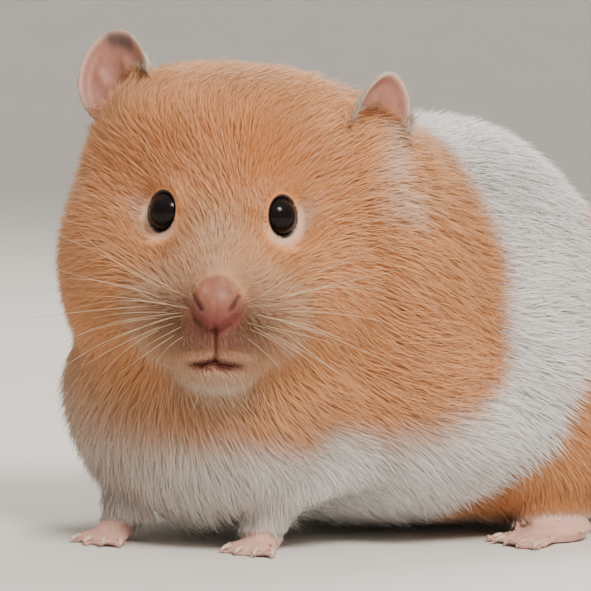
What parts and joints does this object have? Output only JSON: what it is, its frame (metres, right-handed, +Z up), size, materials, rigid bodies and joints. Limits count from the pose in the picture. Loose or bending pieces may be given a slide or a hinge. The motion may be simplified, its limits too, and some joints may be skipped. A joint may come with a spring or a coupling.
{
  "type": "syrian hamster model",
  "caption": "Still, life-size Syrian hamster crouching on its four feet with its head up and turned to its left, in a golden coat with a white band.",
  "frame": {"origin": "on the floor under the middle of the animal's bounding box", "axes": "+Z up, the body lies along Y with the nose towards -Y, so the animal's left side is +X"},
  "size_m": [0.0798, 0.1316, 0.0879],
  "materials": {
    "golden_fur": "soft golden orange fur, matt",
    "white_fur": "soft white fur, matt",
    "bare_skin": "pale pink skin with fine short hairs",
    "nose_skin": "dusky pink, slightly moist",
    "eye": "wet black gloss",
    "claw": "translucent pale horn",
    "whisker": "stiff pale golden hair"
  },
  "bodies": {
    "root": {"trunk": "white_fur", "neck": "golden_fur", "head": "golden_fur", "lower_jaw": "golden_fur", "nose": "nose_skin", "ear_left": "bare_skin", "ear_right": "bare_skin", "eye_left": "eye", "eye_right": "eye", "foreleg_left": "golden_fur", "foreleg_right": "golden_fur", "forefoot_left": "bare_skin", "forefoot_right": "bare_skin", "hindleg_left": "golden_fur", "hindleg_right": "golden_fur", "hindfoot_left": "bare_skin", "hindfoot_right": "bare_skin", "tail": "bare_skin"}
  },
  "joints": []
}
